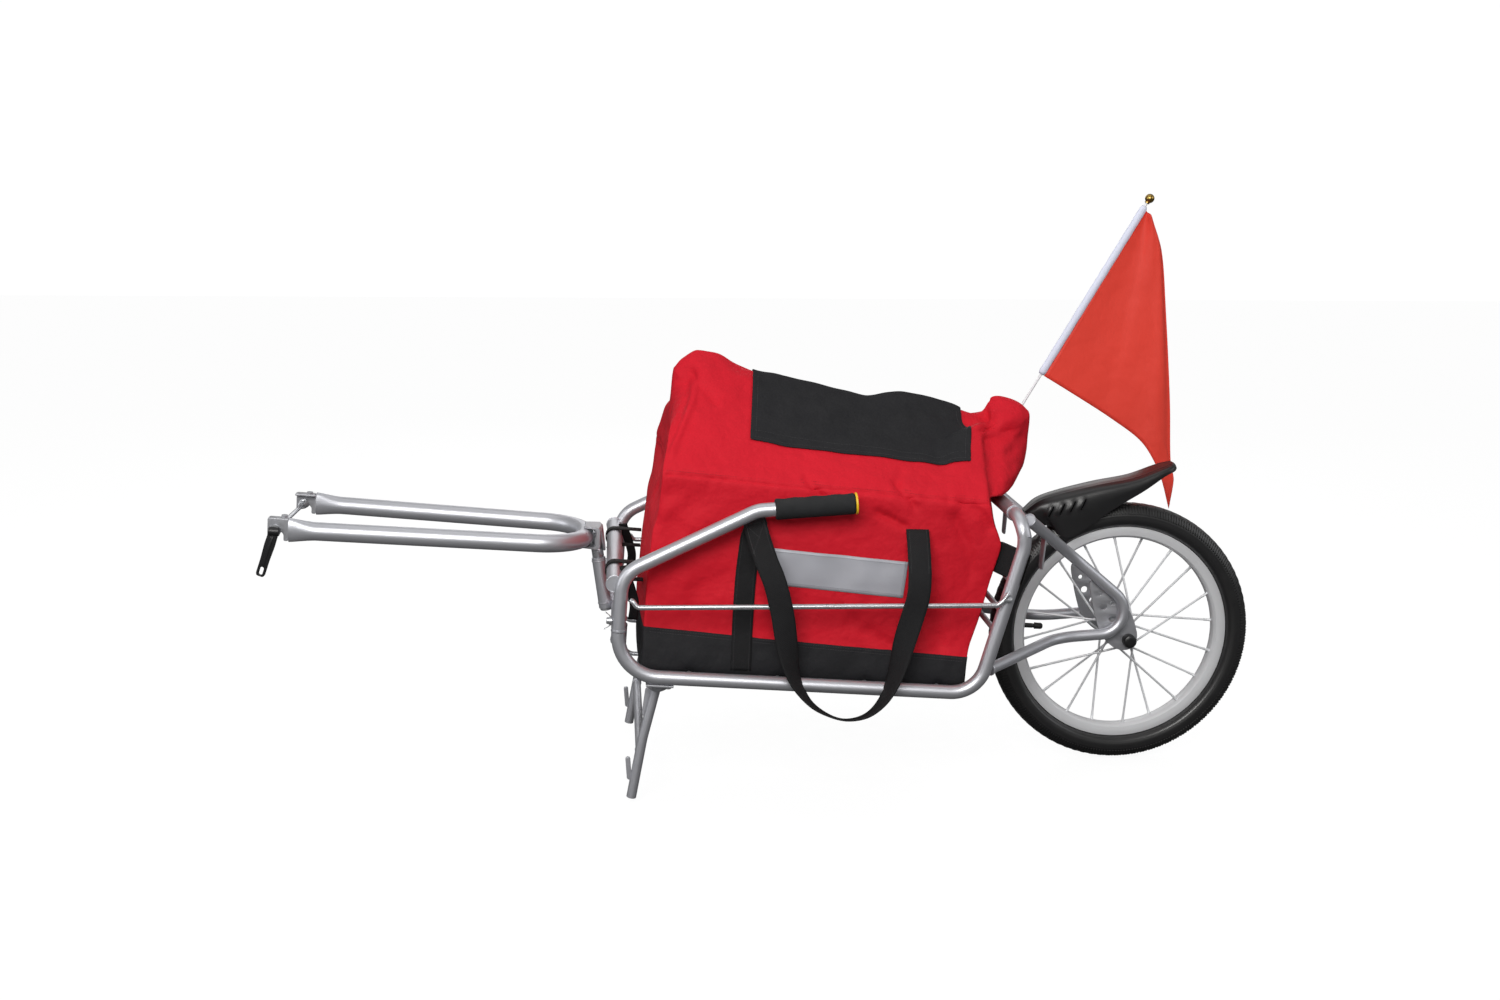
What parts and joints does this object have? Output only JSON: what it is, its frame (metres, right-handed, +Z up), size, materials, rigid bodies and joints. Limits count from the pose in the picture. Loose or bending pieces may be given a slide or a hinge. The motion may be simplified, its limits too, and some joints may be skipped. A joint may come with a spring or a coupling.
{
  "type": "bicycle luggage trailer",
  "caption": "Single-wheel tubular trailer with a swinging hitch fork, a folding stand, a strapped duffel bag, a mudguard and a safety flag.",
  "frame": {"origin": "on the floor under the middle of the parked trailer's bounding box", "axes": "+X from the hitch towards the trailer wheel, +Y to the right seen from the towing bicycle's saddle, +Z up"},
  "size_m": [1.4218, 0.4928, 0.8273],
  "materials": {
    "frame_tube": "satin bare metal look",
    "frame_plate": "satin bare metal look",
    "bright_metal": "bright zinc plate",
    "rim_alloy": "satin",
    "tyre_rubber": "matte rubber with grey dust",
    "grip_foam": "soft matte foam",
    "black_plastic": "satin black",
    "yellow_plastic": "gloss yellow",
    "red_cloth": "woven, lightly coated",
    "black_cloth": "coarse woven",
    "grey_cloth": "reflective, satin",
    "flag_cloth": "thin woven",
    "white_cloth": "thin coated",
    "white_plastic": "gloss",
    "brass_ball": "dull brass"
  },
  "bodies": {
    "cradle": {"side_loop_left": "frame_tube", "side_loop_right": "frame_tube", "stay_loop_left": "frame_tube", "stay_loop_right": "frame_tube", "axle_plate_left": "frame_plate", "axle_plate_right": "frame_plate", "handle_left": "frame_tube", "handle_right": "frame_tube", "grip_left": "grip_foam", "grip_right": "grip_foam", "grip_ring_left": "yellow_plastic", "grip_ring_right": "yellow_plastic", "side_rod_left": "bright_metal", "side_rod_right": "bright_metal", "stand_bracket_left": "frame_plate", "stand_bracket_right": "frame_plate", "axle_cap_left": "black_plastic", "axle_cap_right": "black_plastic", "reflective_strip_left": "grey_cloth", "reflective_strip_right": "grey_cloth", "bag_loop_left": "black_cloth", "bag_loop_right": "black_cloth", "front_lace_left": "black_cloth", "front_lace_right": "black_cloth", "rear_lace_left": "black_cloth", "rear_lace_right": "black_cloth", "rear_crossbar": "frame_tube", "upper_crossbar": "frame_tube", "floor_rack": "frame_tube", "rear_rack": "frame_tube", "head_sleeve": "frame_tube", "axle": "bright_metal", "mudguard": "black_plastic", "mudguard_bracket": "frame_plate", "bag_body": "red_cloth", "bag_base": "black_cloth", "bag_flap": "black_cloth", "flag_socket": "frame_tube"},
    "wheel": {"hub_shell": "bright_metal", "spokes_left": "bright_metal", "spokes_right": "bright_metal", "rim": "rim_alloy", "inner_tube": "tyre_rubber", "valve_stem": "grip_foam", "tyre": "tyre_rubber"},
    "stand": {"stand_frame": "frame_tube"},
    "fork": {"pivot_stem": "frame_plate", "hitch_fork": "frame_tube", "hitch_bracket": "frame_tube", "hitch_dropout_left": "frame_plate", "hitch_dropout_right": "frame_plate"},
    "skewer": {"skewer_rod": "bright_metal", "skewer_nut": "bright_metal"},
    "lever": {"skewer_lever": "black_plastic"},
    "wing_bolt_left": {"wing_bolt_left": "bright_metal"},
    "wing_bolt_right": {"wing_bolt_right": "bright_metal"},
    "flag": {"flag_pole": "white_plastic", "flag_ball": "brass_ball", "flag_sleeve": "white_cloth", "flag_pennant": "flag_cloth"}
  },
  "joints": [
    {"name": "wheel_spin", "type": "hinge", "parent": "cradle", "child": "wheel", "pos_m": [0.51783, 0, 0.1935], "axis": [0, 1, 0], "continuous": true},
    {"name": "stand_fold", "type": "hinge", "parent": "cradle", "child": "stand", "pos_m": [-0.16692, 0, 0.16923], "axis": [0, -1, 0], "range_deg": [0, 84]},
    {"name": "hitch_swing", "type": "hinge", "parent": "cradle", "child": "fork", "pos_m": [-0.23621, 0, 0.23591], "axis": [-0.1383, 0, 0.9904], "range_deg": [-57.7, 62.3]},
    {"name": "skewer_turn", "type": "hinge", "parent": "fork", "child": "skewer", "pos_m": [-0.68093, 0.01695, 0.36885], "axis": [0.0397, 0.9992, 0.0056], "range_deg": [-40, 60]},
    {"name": "lever_flip", "type": "hinge", "parent": "skewer", "child": "lever", "pos_m": [-0.685, -0.08527, 0.36828], "axis": [-0.9971, 0.0393, 0.0655], "range_deg": [0, 180]},
    {"name": "wing_bolt_left_turn", "type": "hinge", "parent": "cradle", "child": "wing_bolt_left", "pos_m": [-0.21788, -0.2, 0.26778], "axis": [-0.9979, 0, 0.0654], "continuous": true},
    {"name": "wing_bolt_right_turn", "type": "hinge", "parent": "cradle", "child": "wing_bolt_right", "pos_m": [-0.21788, 0.2, 0.26778], "axis": [-0.9979, 0, 0.0654], "continuous": true},
    {"name": "flag_pole_pull", "type": "slide", "parent": "cradle", "child": "flag", "axis": [0.5038, 0, 0.8638], "range_m": [0, 0.06]}
  ]
}
